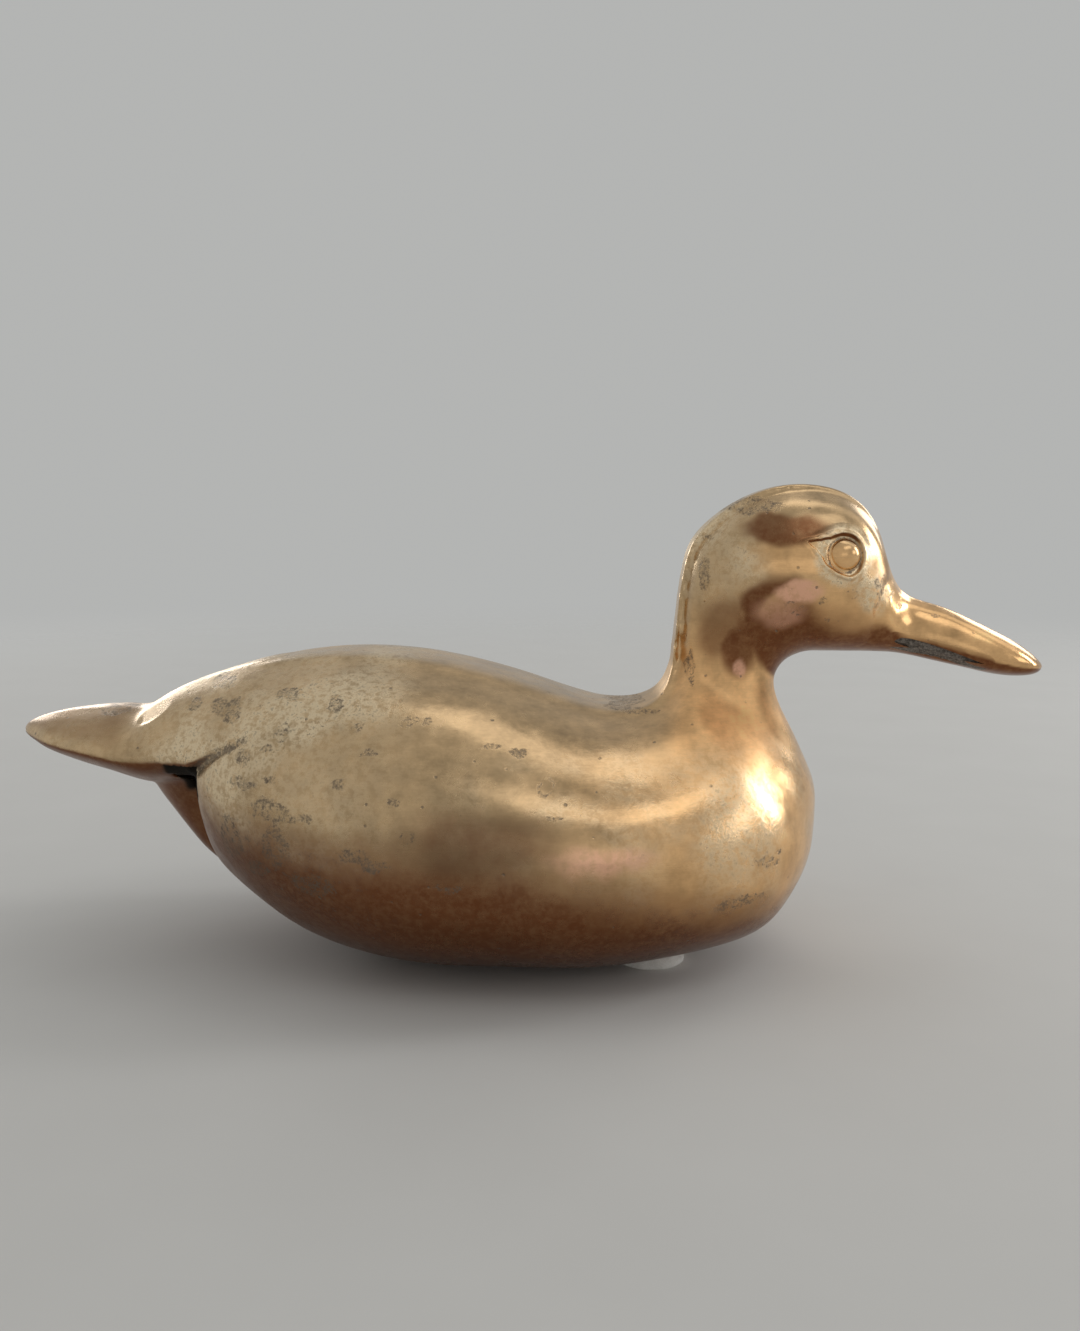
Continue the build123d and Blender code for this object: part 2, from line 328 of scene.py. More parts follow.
def folded(points):
    """The points with the left side turned over onto the right."""
    return points * (1, 0, 1) - np.abs(points) * (0, 1, 0)


# Objects

def add_object(name, mesh):
    piece = bpy.data.objects.new(name, mesh)
    bpy.context.scene.collection.objects.link(piece)
    return piece


def drop(piece):
    mesh = piece.data
    bpy.data.objects.remove(piece)
    bpy.data.meshes.remove(mesh)


def form_of(mesh):
    form = bmesh.new()
    form.from_mesh(mesh)
    return form


def mesh_from(name, form):
    mesh = bpy.data.meshes.new(name)
    form.to_mesh(mesh)
    form.free()
    return mesh


def joined(name, nodes):
    """One object with copies of the CAD nodes' meshes."""
    form = bmesh.new()
    for node in nodes:
        form.from_mesh(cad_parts[node].data)
    return add_object(name, mesh_from(name, form))


def bake(piece):
    """Applies the piece's modifiers."""
    view = bpy.context.evaluated_depsgraph_get()
    made = bpy.data.meshes.new_from_object(piece.evaluated_get(view))
    old = piece.data
    piece.modifiers.clear()
    piece.data = made
    made.name = piece.name
    bpy.data.meshes.remove(old)


def remesh(piece, voxel):
    change = piece.modifiers.new("Even mesh", "REMESH")
    change.mode = "VOXEL"
    change.voxel_size = voxel * mm
    bake(piece)


def refine(piece, wanted, cuts):
    """Divides the faces whose corners are all wanted."""
    form = form_of(piece.data)
    form.verts.ensure_lookup_table()
    faces = [face for face in form.faces if all(wanted[v.index] for v in face.verts)]
    edges = list({edge for face in faces for edge in face.edges})
    bmesh.ops.subdivide_edges(form, edges=edges, cuts=cuts, use_grid_fill=True)
    form.to_mesh(piece.data)
    form.free()


def keep_largest(form):
    """Deletes all but the largest connected island of a bmesh."""
    seen, groups = set(), []
    for start in form.verts:
        if start in seen:
            continue
        seen.add(start)
        group, queue = [start], [start]
        while queue:
            for edge in queue.pop().link_edges:
                for vertex in edge.verts:
                    if vertex not in seen:
                        seen.add(vertex)
                        group.append(vertex)
                        queue.append(vertex)
        groups.append(group)
    groups.sort(key=len)
    gone = [vertex for group in groups[:-1] for vertex in group]
    bmesh.ops.delete(form, geom=gone, context="VERTS")


def hollow_inside(skin, voxel):
    """The closed hollow of the castings: the largest surface that lies inside the skin."""
    cavity = joined("cavity", shells)
    remesh(cavity, voxel)
    tree = tree_of(skin.data)
    form = form_of(cavity.data)
    outside = [v for v in form.verts if tree.find_nearest(v.co)[3] < outside_reach * mm]
    bmesh.ops.delete(form, geom=outside, context="VERTS")
    keep_largest(form)
    bmesh.ops.holes_fill(form, edges=[edge for edge in form.edges if edge.is_boundary])
    bmesh.ops.reverse_faces(form, faces=form.faces)
    form.to_mesh(cavity.data)
    form.free()
    return cavity


def tree_of(mesh):
    form = form_of(mesh)
    tree = BVHTree.FromBMesh(form)
    form.free()
    return tree


def block(name, low, high):
    """Box between two corners, in millimetres."""
    form = bmesh.new()
    bmesh.ops.create_cube(form, size=1)
    low, high = Vector(low) * mm, Vector(high) * mm
    for vertex in form.verts:
        vertex.co = Vector(low[i] + (vertex.co[i] + 0.5) * (high[i] - low[i]) for i in range(3))
    return add_object(name, mesh_from(name, form))


def prism(name, outline, half_depth):
    """Outline in X and Z, drawn out to both sides along Y, in millimetres."""
    form = bmesh.new()
    front = [form.verts.new((x * mm, -half_depth * mm, z * mm)) for x, z in outline]
    back = [form.verts.new((x * mm, half_depth * mm, z * mm)) for x, z in outline]
    form.faces.new(front)
    form.faces.new(back[::-1])
    for i in range(len(outline)):
        j = (i + 1) % len(outline)
        form.faces.new((front[i], back[i], back[j], front[j]))
    bmesh.ops.recalc_face_normals(form, faces=form.faces)
    return add_object(name, mesh_from(name, form))


def upright_rod(name, centre, radius, low_z, high_z):
    """Round rod along Z, in metres."""
    form = bmesh.new()
    depth = high_z - low_z
    bmesh.ops.create_cone(
        form, cap_ends=True, segments=rod_segments, radius1=radius, radius2=radius, depth=depth)
    bmesh.ops.translate(form, verts=form.verts, vec=(*centre, (low_z + high_z) / 2))
    return add_object(name, mesh_from(name, form))


def cut(piece, tool, operation):
    change = piece.modifiers.new("Cut", "BOOLEAN")
    change.operation = operation
    change.solver = "MANIFOLD"
    change.object = tool
    bake(piece)


def copy_of(piece, name):
    return add_object(name, piece.data.copy())


# The skin of all castings, still without its details

shells = ("right_shell", "left_shell", "seam_braze", "vent_plug")
skin = joined("skin", (*shells, "tail_casting", "tail_braze"))
remesh(skin, skin_voxel)
cavity = hollow_inside(skin, cavity_voxel)
set_points(skin.data, smoothed(points_of(skin.data), edges_of(skin.data), smooth_rounds))


# Finer mesh round the eyes, the mouth and the crease

def mouth_distance(points):
    path = [((mouth_rear[0], 0, mouth_rear[1]), 0), ((mouth_front[0], 0, mouth_front[1]), 0)]
    return along_path(points * (1, 0, 1), path)[0]


def eye_distance(points):
    return np.hypot(points[:, 0] - eye_x, points[:, 2] - eye_z)


def detail_zone(points):
    on_bill = points[:, 0] > bill_start_x
    near_eye = (eye_distance(points) < eye_fine_reach) & (np.abs(points[:, 1]) > eye_side_y)
    near_crease = along_path(folded(points), crease)[0] < crease_fine_reach
    return on_bill | near_eye | near_crease


def sharp_zone(points):
    near_mouth = (mouth_distance(points) < mouth_finest_reach) & (points[:, 0] > mouth_start_x)
    near_eye = (eye_distance(points) < eye_finest_reach) & (np.abs(points[:, 1]) > eye_side_y)
    return near_mouth | near_eye


refine(skin, detail_zone(points_of(skin.data)), 1)
refine(skin, sharp_zone(points_of(skin.data)), 1)
points = points_of(skin.data)
share = detail_zone(points).astype(float)[:, None]
edges = edges_of(skin.data)
points = smoothed(points, edges, fine_rounds, share)


# Mouth: the blurred groove is filled up here, and cut afresh into the finished skin below

def membrane(points, edges, chosen, rounds):
    """Stretches the chosen points like a film between the others."""
    touching = edges[chosen[edges].any(axis=1)]
    used, local = np.unique(touching, return_inverse=True)
    local = local.reshape(-1, 2)
    counts = neighbour_counts(local, len(used))
    part, moving = points[used], chosen[used]
    for _ in range(rounds):
        part[moving] = spread(part, local, counts)[moving]
    points = points.copy()
    points[used] = part
    return points


filled = (mouth_distance(points) < mouth_fill_reach) & (points[:, 0] > mouth_start_x)
filled &= points[:, 2] < mouth_top_z
points = membrane(points, edges, filled, mouth_fill_rounds)
set_points(skin.data, points)


# Eyes: a ball between two lids, cast with the head

def eye_axes(points, normals, side):
    """Centre, outward, forward and upward directions of one eye."""
    radius = eye_distance(points)
    ring = (radius > eye_axes_ring[0]) & (radius < eye_axes_ring[1])
    ring &= points[:, 1] * side > eye_side_y
    outward = normals[ring].mean(axis=0)
    outward /= np.linalg.norm(outward)
    forward = np.array([1.0, 0, 0]) - outward[0] * outward
    forward /= np.linalg.norm(forward)
    upward = np.cross(outward, forward)
    upward *= np.sign(upward[2])
    start = np.array([eye_x, points[ring][:, 1].mean(), eye_z])
    return start, outward, forward, upward


def curved(u, v):
    """Terms of a quadratic surface over u and v."""
    return np.column_stack([np.ones_like(u), u, v, u * u, u * v, v * v])


def eye_relief(u, v):
    """Height of ball, lids and folds above the smooth head, in millimetres."""
    radius = np.hypot(u, v)
    turn = np.degrees(np.arctan2(v, u)) % 360
    outline = np.interp(turn, *zip(*lid_outline))
    inside = ramp(1.0, lid_inner_share, radius / outline)
    rim_drop = (eye_ball_sphere ** 2 - eye_ball_radius ** 2) ** 0.5
    cap = np.sqrt(np.maximum(eye_ball_sphere ** 2 - radius ** 2, 0)) - rim_drop
    ball = np.where(radius < eye_ball_radius, cap, 0)
    ditch = bell(radius - eye_ball_radius - eye_ditch_offset, eye_ditch_width)
    lid = bell(radius - outline, lid_width)
    above = ramp(*lid_fold_front, turn) * ramp(*lid_fold_rear, turn)
    fold = bell(radius - outline - lid_fold_offset, lid_fold_width) * above
    height = ball - eye_sink * inside + lid_height * lid
    height -= eye_ditch_depth * ditch * (radius > eye_ball_radius)
    return height - lid_fold_depth * fold


def with_eye(points, normals, side):
    start, outward, forward, upward = eye_axes(points, normals, side)
    near = np.flatnonzero((eye_distance(points) < eye_reach) & (points[:, 1] * side > eye_side_y))
    offset = points[near] - start
    u, v, height = offset @ forward, offset @ upward, offset @ outward
    radius = np.hypot(u, v)
    ring = (radius > eye_level_ring[0]) & (radius < eye_level_ring[1]) & (u < eye_level_front)
    shape = np.linalg.lstsq(curved(u[ring], v[ring]), height[ring], rcond=None)[0]
    flat = ramp(eye_flat_reach, eye_flat_reach - eye_flat_fade, radius)
    level = height + flat * (curved(u, v) @ shape - height)
    relief = eye_relief(u, v) * ramp(*eye_relief_fade, radius)
    points = points.copy()
    points[near] = start + np.outer(u, forward) + np.outer(v, upward)
    points[near] += np.outer(level + relief, outward)
    return points


normals = normals_of(skin.data)
for side in (-1, 1):
    points = with_eye(points, normals, side)
eye_share = ramp(*eye_smooth_fade, eye_distance(points)) * (np.abs(points[:, 1]) > eye_side_y)
points = smoothed(points, edges, eye_smooth_rounds, eye_share[:, None])
set_points(skin.data, points)


# Hand-worked surface: waves, the crease, the step at the tail and the dip behind the bill

def behind_joint(points):
    """How far each point lies behind the slanted joint of the tail, in millimetres."""
    run, rise = joint_top_x - rear_wall_x, joint_top_z - joint_foot_z
    away_x, away_z = points[:, 0] - rear_wall_x, points[:, 2] - joint_foot_z
    return -(away_x * rise - away_z * run) / hypot(run, rise)


def facet_depth(points):
    """How far each point stands out of the filed facet's plane, and which way that is."""
    low, high, side = (np.array(corner) for corner in facet)
    outward = np.cross(side - low, high - low)
    outward *= np.sign(outward[2]) / np.linalg.norm(outward)
    height = (points - low) @ outward
    middle = (low + high + side) / 3
    near = ramp(facet_reach, facet_reach - facet_fade, np.linalg.norm(points - middle, axis=1))
    near = near * ramp(*facet_joint_fade, behind_joint(points))
    return near * np.maximum(height, 0), outward


normals = normals_of(skin.data)
side_points = folded(points)
beside_eye = np.abs(points[:, 1]) > eye_side_y
calm = 1 - eye_calm * ramp(*eye_calm_fade, eye_distance(points)) * beside_eye
calm *= 1 - bill_calm * ramp(*bill_calm_fade, points[:, 0])
calm *= 1 - chest_calm * ramp(*chest_calm_fade, points[:, 0])
push = calm * sum(height * waves(points, *wave) for height, *wave in hand_waves)
distance, depth = along_path(side_points, crease)
push -= depth * bell(distance, crease_width)
below = ramp(*crease_swell_start, distance) * ramp(*crease_swell_end, distance)
push += crease_swell * depth * (below * (side_points[:, 2] < crease_swell_top_z))
distance, depth = along_path(side_points, cheek_dip)
push -= depth * bell(distance, cheek_dip_width)
back = behind_joint(points)
push -= (
    tail_step_depth * ramp(*tail_step_start, back) * ramp(*tail_step_end, back)
    * ramp(*tail_step_levels, points[:, 2]))
points = points + normals * push[:, None]
depth, outward = facet_depth(folded(points))
mirror = np.where(points[:, 1:2] > 0, np.array([[1, -1, 1]]), 1)
points = points - depth[:, None] * outward * mirror
set_points(skin.data, points)


# Castings cut from the skin

def tail_zone(name, gap):
    """All that lies behind the slanted joint, less the gap, in millimetres."""
    foot_x = rear_wall_x - gap
    slope = (joint_top_z - joint_foot_z) / (joint_top_x - rear_wall_x)
    foot_z = joint_foot_z + (-gap * (1 + slope * slope) ** 0.5 - gap * slope)
    bend_x = joint_top_x - tail_zone_length
    bend_z = foot_z + slope * (bend_x - foot_x)
    end_x = bend_x - tail_zone_length
    outline = [
        (foot_x, foot_z), (foot_x, tail_zone_foot_z), (end_x, tail_zone_foot_z), (end_x, bend_z),
        (bend_x, bend_z),
    ]
    return prism(name, outline, tail_zone_half_width)


_, seam_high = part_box("seam_braze")
plug_low, plug_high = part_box("vent_plug")
seam_half = seam_high.y / mm
plug_centre = ((plug_low.x + plug_high.x) / 2, (plug_low.y + plug_high.y) / 2)
plug_radius = (plug_high.x - plug_low.x) / 2

zone = tail_zone("zone", 0)
inner_zone = tail_zone("inner_zone", tail_joint_gap)
tenon = block("tenon", tenon_low, tenon_high)
right_side = block("right_side", (-far, -far, -far), (far, -seam_half, far))
left_side = block("left_side", (-far, seam_half, -far), (far, far, far))
middle = block("middle", (-far, -seam_half, -far), (far, seam_half, far))
rod_radius = plug_radius - plug_clearance * mm
rod_foot, rod_top = -vent_overrun * mm, plug_high.z
rod = upright_rod("rod", plug_centre, rod_radius, rod_foot, rod_top)
hole = upright_rod("hole", plug_centre, plug_radius, rod_foot, rod_top + vent_overrun * mm)

tail = copy_of(skin, "tail")
cut(tail, inner_zone, "INTERSECT")
cut(tail, tenon, "UNION")
tail_braze = copy_of(skin, "tail_braze_layer")
cut(tail_braze, zone, "INTERSECT")
cut(tail_braze, inner_zone, "DIFFERENCE")
cut(tail_braze, tenon, "DIFFERENCE")

body = copy_of(skin, "body")
cut(body, zone, "DIFFERENCE")
cut(body, cavity, "DIFFERENCE")
cut(body, tenon, "DIFFERENCE")
right_half = copy_of(body, "right_half")
cut(right_half, right_side, "INTERSECT")
left_half = copy_of(body, "left_half")
cut(left_half, left_side, "INTERSECT")
cut(left_half, hole, "DIFFERENCE")
seam = copy_of(body, "median_braze")
cut(seam, middle, "INTERSECT")
plug = copy_of(skin, "belly_plug")
cut(plug, rod, "INTERSECT")


def mouth_tool(name, side):
    """Leaf-shaped cutter beside the bill."""
    rear, front = np.array(mouth_rear), np.array(mouth_front)
    along = front - rear
    across = np.array([-along[1], along[0]]) / np.linalg.norm(along)
    outline = [rear + share * along + rise * across for share, rise in mouth_upper + mouth_lower]
    tool = prism(name, outline, mouth_half_cut)
    tool.location.y = side * (mouth_inner_y + mouth_half_cut) * mm
    bpy.context.view_layer.update()
    return tool


mouth_cuts = [mouth_tool("mouth_right", -1), mouth_tool("mouth_left", 1)]
cut(right_half, mouth_cuts[0], "DIFFERENCE")
cut(left_half, mouth_cuts[1], "DIFFERENCE")

castings = (right_half, left_half, tail, plug)
brazing = (seam, tail_braze)


# Shading across the joints: the outer surface keeps the uncut skin's normals

def skin_shading(skin):
    """Triangles of the skin for look-up, their corners and the vertex normals."""
    mesh = skin.data
    mesh.calc_loop_triangles()
    corners = read(mesh.loop_triangles, "vertices", np.int32, 3)
    places = points_of(mesh)
    tree = BVHTree.FromPolygons(places.tolist(), corners.tolist())
    return tree, corners, places, normals_of(mesh)


def normals_at(places, shading):
    """Normal of the skin at each place, and how far the place lies from the skin."""
    tree, corners, skin_places, corner_normals = shading
    found = [tree.find_nearest(place) for place in places.tolist()]
    hit = np.array([item[0] for item in found])
    index = np.array([item[2] for item in found])
    a, b, c = (skin_places[corners[index, i]] for i in range(3))
    whole = np.cross(b - a, c - a)
    size = np.maximum((whole * whole).sum(axis=1), smallest)
    weight_b = (np.cross(hit - a, c - a) * whole).sum(axis=1) / size
    weight_c = (np.cross(b - a, hit - a) * whole).sum(axis=1) / size
    weights = (1 - weight_b - weight_c, weight_b, weight_c)
    normal = sum(weights[i][:, None] * corner_normals[corners[index, i]] for i in range(3))
    normal /= np.maximum(np.linalg.norm(normal, axis=1), smallest)[:, None]
    return normal, np.array([item[3] for item in found])


def shade_as_skin(piece, shading):
    """Gives the piece the skin's normals where it is skin. Returns the skin's normals at its points."""
    mesh = piece.data
    mesh.shade_smooth()
    mesh.set_sharp_from_angle(angle=radians(sharp_angle))
    normal, gap = normals_at(points_of(mesh), shading)
    corner_vertex = read(mesh.loops, "vertex_index", np.int32)
    sizes = read(mesh.polygons, "loop_total", np.int32)
    corner_face = np.repeat(read(mesh.polygons, "normal", np.float32, 3), sizes, axis=0)
    area = read(mesh.polygons, "area", np.float32)
    tiny = np.repeat(area, sizes) < sliver_area * mm * mm
    custom = normal[corner_vertex]
    faces_out = (custom * corner_face).sum(axis=1) > facing_skin
    on_skin = (gap[corner_vertex] < skin_gap) & (faces_out | tiny)
    custom[~on_skin] = 0
    mesh.normals_split_custom_set(custom.tolist())
    return normal


shading = skin_shading(skin)
skin_normals = {piece: shade_as_skin(piece, shading) for piece in (*castings, *brazing)}

tools = (zone, inner_zone, tenon, right_side, left_side, middle, rod, hole, body, cavity)
for tool in (*tools, *mouth_cuts):
    drop(tool)


# Felt pads, pressed against the belly, with loose fibres at the edge

# Section of a pad from its middle below round the edge to its middle above, as shares of radius
# and height
pad_profile = [
    (0.0, 0.0), (0.5, 0.0), (0.9, 0.0), (0.972, 0.0), (0.993, 0.10), (1.0, 0.35), (0.999, 0.65),
    (0.99, 0.92), (0.96, 1.0), (0.5, 1.0), (0.0, 1.0),
]
pad_turns = 160

# The ragged edge: height and length of its waves in millimetres, shift of the seed, octaves
pad_waves = [(0.12, 1.1, 0, 3), (0.05, 0.25, 5, 1)]
pad_wave_ring = 6

# Pads, in millimetres: play at edge and belly, the share of the radius from which the edge is
# ragged and from which it follows the level, the ridges round the edge, and the height and the
# start of the look-up of the belly
pad_inset = 0.15
pad_play = 0.03
pad_ragged_share = 0.9
pad_edge_share = 0.6
pad_ridge_depth = 0.05
pad_ridge_turn = 40
pad_free_height = 4.0
pad_search_z = -1.0

# Fibres, in millimetres: number, place, size and direction, bends along each, and lowest point
fibre_count = 260
fibre_rings = 5
fibre_sides = 3
fibre_root = 0.25
fibre_headroom = 0.1
fibre_levels = (0.08, 0.8)
fibre_lengths = (0.5, 1.6)
fibre_radii = (0.02, 0.035)
fibre_rises = (-0.9, 0.5)
fibre_outward = 0.6
fibre_scatter = 0.6
fibre_bend = 0.25
fibre_tilt = 0.01
fibre_lowest_z = 0.005


def belly_height(tree, x, y):
    """Height of the belly above the ground at one place, in millimetres."""
    hit = tree.ray_cast(Vector((x, y, pad_search_z)), Vector((0, 0, 1)))[0]
    return hit.z if hit else pad_free_height


def join_rings(form, first, second):
    """Faces between two rings of vertices, or between a ring and a single vertex."""
    size = max(len(first), len(second))
    for i in range(size):
        j = (i + 1) % size
        if len(first) == 1:
            form.faces.new((first[0], second[j], second[i]))
        elif len(second) == 1:
            form.faces.new((first[i], first[j], second[0]))
        else:
            form.faces.new((first[i], first[j], second[j], second[i]))


def felt_pad(name, node, tree, seed):
    low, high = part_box(node)
    centre = np.array([(low.x + high.x) / 2, (low.y + high.y) / 2]) / mm
    radius = (high.x - low.x) / 2 / mm
    turns = np.arange(pad_turns) * 2 * pi / pad_turns
    around = (np.cos(turns) * pad_wave_ring, np.sin(turns) * pad_wave_ring)
    ring = np.column_stack([*around, np.zeros(pad_turns) + seed])
    ragged = sum(
        height * waves(ring, size, seed + shift, octaves) for height, size, shift, octaves in pad_waves)
    form = bmesh.new()
    rows = []
    for share, level in pad_profile:
        row = []
        for turn, edge in zip(turns, ragged):
            out = (radius - pad_inset) * share + (edge if share > pad_ragged_share else 0)
            out -= pad_ridge_depth * sin(pad_ridge_turn * level)
            x, y = centre[0] + out * cos(turn), centre[1] + out * sin(turn)
            top = belly_height(tree, x, y) - pad_play
            z = max(level * top, 0.0) if share > pad_edge_share or level == 0 else top
            row.append(form.verts.new((x * mm, y * mm, z * mm)))
            if share == 0:
                break
        rows.append(row)
    for first, second in zip(rows, rows[1:]):
        join_rings(form, first, second)
    add_fibres(form, centre, radius, tree, seed)
    bmesh.ops.recalc_face_normals(form, faces=form.faces)
    mesh = mesh_from(name, form)
    mesh.shade_smooth()
    return add_object(name, mesh)


def add_fibres(form, centre, radius, tree, seed):
    """Short bent hairs of wool round the edge of a pad."""
    chance = np.random.default_rng(seed)
    for _ in range(fibre_count):
        turn = chance.uniform(0, 2 * pi)
        level = chance.uniform(*fibre_levels)
        length = chance.uniform(*fibre_lengths)
        thickness = chance.uniform(*fibre_radii)
        root = radius - fibre_root
        x, y = centre[0] + root * cos(turn), centre[1] + root * sin(turn)
        place = np.array([x, y, level * (belly_height(tree, x, y) - fibre_headroom)])
        heading = np.array([cos(turn), sin(turn), chance.uniform(*fibre_rises)]) * fibre_outward
        heading += chance.normal(0, fibre_scatter, 3)
        tube = []
        for _ in range(fibre_rings):
            heading += chance.normal(0, fibre_bend, 3)
            heading /= np.linalg.norm(heading)
            side = np.array([-heading[1], heading[0], fibre_tilt])
            side /= np.linalg.norm(side)
            over = np.cross(heading, side)
            ring = []
            for corner in range(fibre_sides):
                bend = 2 * pi * corner / fibre_sides
                rim = place + thickness * (cos(bend) * side + sin(bend) * over)
                rim[2] = max(rim[2], fibre_lowest_z * (1 + corner))
                ring.append(form.verts.new(rim * mm))
            tube.append(ring)
            place = place + heading * length / (fibre_rings - 1)
        for first, second in zip(tube, tube[1:]):
            join_rings(form, first, second)
        form.faces.new(tube[0][::-1])
        form.faces.new(tube[-1])


pad_seeds = {"front_right": 11, "front_left": 12, "rear": 13}
pads = [
    felt_pad(f"felt_{place}", f"felt_pad_{place}", shading[0], seed)
    for place, seed in pad_seeds.items()
]
drop(skin)


# Each piece in place of its CAD part: the part is hidden and the piece hangs from the root

for piece, node, slot in (
    (right_half, "right_shell", "brass"),
    (left_half, "left_shell", "brass"),
    (tail, "tail_casting", "brass"),
    (plug, "vent_plug", "brass"),
    (seam, "seam_braze", "braze"),
    (tail_braze, "tail_braze", "braze"),
    (pads[0], "felt_pad_front_right", "felt"),
    (pads[1], "felt_pad_front_left", "felt"),
    (pads[2], "felt_pad_rear", "felt"),
):
    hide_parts(node)
    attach(piece, "root")


# Wear, tarnish, and painted shade, highlight and reflections, as numbers from 0 to 1 on the points of each
# piece

# Dark spots of tarnish, seen from the right and the same on the left, in millimetres: x, z, half
# length, half height
spots = [
    (-75.7, 62.8, 1.8, 1.2), (-67.8, 63.4, 2.6, 1.4), (-63.9, 62.5, 2.2, 2.6), (-50.9, 59.7, 1.8, 0.8),
    (-51.1, 66.7, 3.0, 1.1), (-59.5, 53.6, 1.9, 1.4), (-58.7, 48.3, 3.2, 1.3), (-51.9, 49.9, 1.8, 1.0),
    (-51.6, 43.4, 4.0, 2.4), (-45.1, 42.4, 3.0, 1.0), (-63.1, 35.3, 2.8, 5.0), (-50.6, 35.2, 3.4, 4.6),
    (-31.8, 36.0, 4.0, 1.4), (-27.5, 33.9, 3.0, 1.2), (-39.2, 65.8, 1.5, 1.4), (-22.4, 62.7, 1.8, 1.1),
    (-18.4, 62.2, 1.5, 0.9), (-3.9, 57.8, 2.0, 0.7), (1.9, 56.6, 2.4, 0.6), (-99.0, 59.7, 4.0, 0.9),
    # The spot at x 84, z 91.6 is painted shade that dims the highlight on the forehead; the others are
    # stains
    (40.9, 71.6, 0.9, 4.0), (43.5, 93.3, 1.0, 3.8), (54.6, 109.4, 6.0, 2.0), (84.0, 91.6, 1.6, 2.4),
    (59.0, 34.2, 0.7, 0.7), (27.1, 61.9, 6.0, 0.7), (-42.0, 28.0, 5.0, 2.4), (-54.0, 56.5, 1.4, 0.8),
    (-36.0, 50.0, 1.5, 0.8), (-70.0, 67.5, 3.0, 1.2), (-56.0, 29.0, 3.0, 2.0), (-30.0, 57.0, 1.2, 0.6),
    (56.0, 32.0, 3.0, 1.2), (70.0, 88.0, 0.9, 0.8), (44.3, 102.0, 0.8, 0.8), (-12.0, 30.0, 3.0, 0.8),
    (-33.0, 61.0, 1.4, 0.8), (50.0, 24.0, 5.0, 1.4), (89.2, 85.7, 1.0, 0.7), (98.0, 83.8, 0.9, 0.5),
    (71.5, 84.0, 0.7, 0.6), (87.0, 89.0, 0.8, 0.6), (10.0, 44.0, 1.6, 0.5), (-24.0, 47.0, 1.6, 0.7),
]

# Upper shore of the painted shade on the belly, brown as a dark table mirrored in the brass, in
# millimetres: x, z
belly_shore = [
    (-90, 47), (-72, 46), (-50, 43), (-35, 41), (-18, 41), (-2, 40), (10, 37), (22, 33), (45, 28), (62, 24),
]

# Dark rings left by drops, on the right side only, in millimetres: x, z, radius
rings = [
    (8.1, 50.0, 1.5), (62.6, 86.9, 1.1), (65.0, 86.2, 0.9), (76.7, 89.9, 1.1), (54.6, 32.9, 1.7),
    (-39.2, 65.8, 1.2), (-50.9, 59.7, 1.9), (-59.5, 53.6, 1.9), (-20.0, 40.0, 1.3), (-51.6, 36.0, 2.6),
]

# Shifts that make the outline of a patch uneven: length of the waves, seed, reach in millimetres
outlines = {"warped": (4, 31, 1.3), "loose": (7, 41, 2.6)}

# Patches, in millimetres: strength, outline, x, z, half length, half height, sharpness. The dark
# ones are painted dark reflections on the head, neck and flank, and on the forehead, where one
# dims the highlight; the copper-red ones are painted reflections of warm things on head, neck and
# flank; the grey one is a painted dark reflection on the flank; the grainy ones are grain of the
# cast skin, and the one at the root of the bill also paints a highlight there
dark_right = [
    (0.80, "warped", 61.3, 104.0, 9.5, 3.7, 1.3),
    (0.60, "loose", 48.5, 80.5, 6.0, 8.0, 1.0),
    (0.90, "warped", 51.5, 76.5, 4.2, 6.5, 1.0),
    (0.58, "loose", -6.0, 37.0, 18.5, 8.5, 0.8),
]
dark_both = [(0.40, "loose", 84.5, 95.0, 2.5, 4.0, 1.0)]
painted_copper_right = [
    (0.95, "warped", 64.5, 90.0, 5.0, 2.3, 1.3),
    (0.45, "warped", 60.5, 85.0, 5.5, 3.2, 1.0),
    (0.75, "loose", 21.0, 34.8, 9.5, 2.6, 0.8),
    (0.70, "warped", 52.1, 71.8, 1.6, 2.2, 1.5),
]
grain_and_highlight_both = [(0.9, "warped", 82, 90, 4.5, 5, 1.2), (0.6, "warped", 50, 40, 10, 12, 1.2)]
painted_grey_reflection_right = [(0.30, "loose", -6.0, 38.0, 16.0, 6.5, 0.8)]

# Ovals used one by one, in millimetres: x, z, half length, half height, sharpness
cheek = (77, 86, 9, 6)
# The crescent between these two ovals is a painted dark reflection round the copper-red patch of the head
crescent_outer = (60.0, 85.5, 9.0, 8.2, 1.8)
crescent_inner = (66.3, 85.3, 8.6, 6.4, 1.5)
cool_nape = (47, 98, 12, 17)
warm_crown = (65, 97.5, 13, 4.5)
crusty_nape = (46, 100, 10, 14, 1.2)
dull_neck_foot = (47, 63, 16, 13, 0.7)

# Edge of a patch as a share of its size, and the strengths and fades of a stain's core and rim
patch_edge = 0.45
stain_core = 0.50
stain_core_fade = (1.35, 0.7)
stain_rim = 0.25
stain_rim_width = 0.25

# Waves that blur the borders of the wear, and those of its crust: length, seed, octaves
blur_waves = (9, 21, 2)
crust_waves = (15, 61, 2)

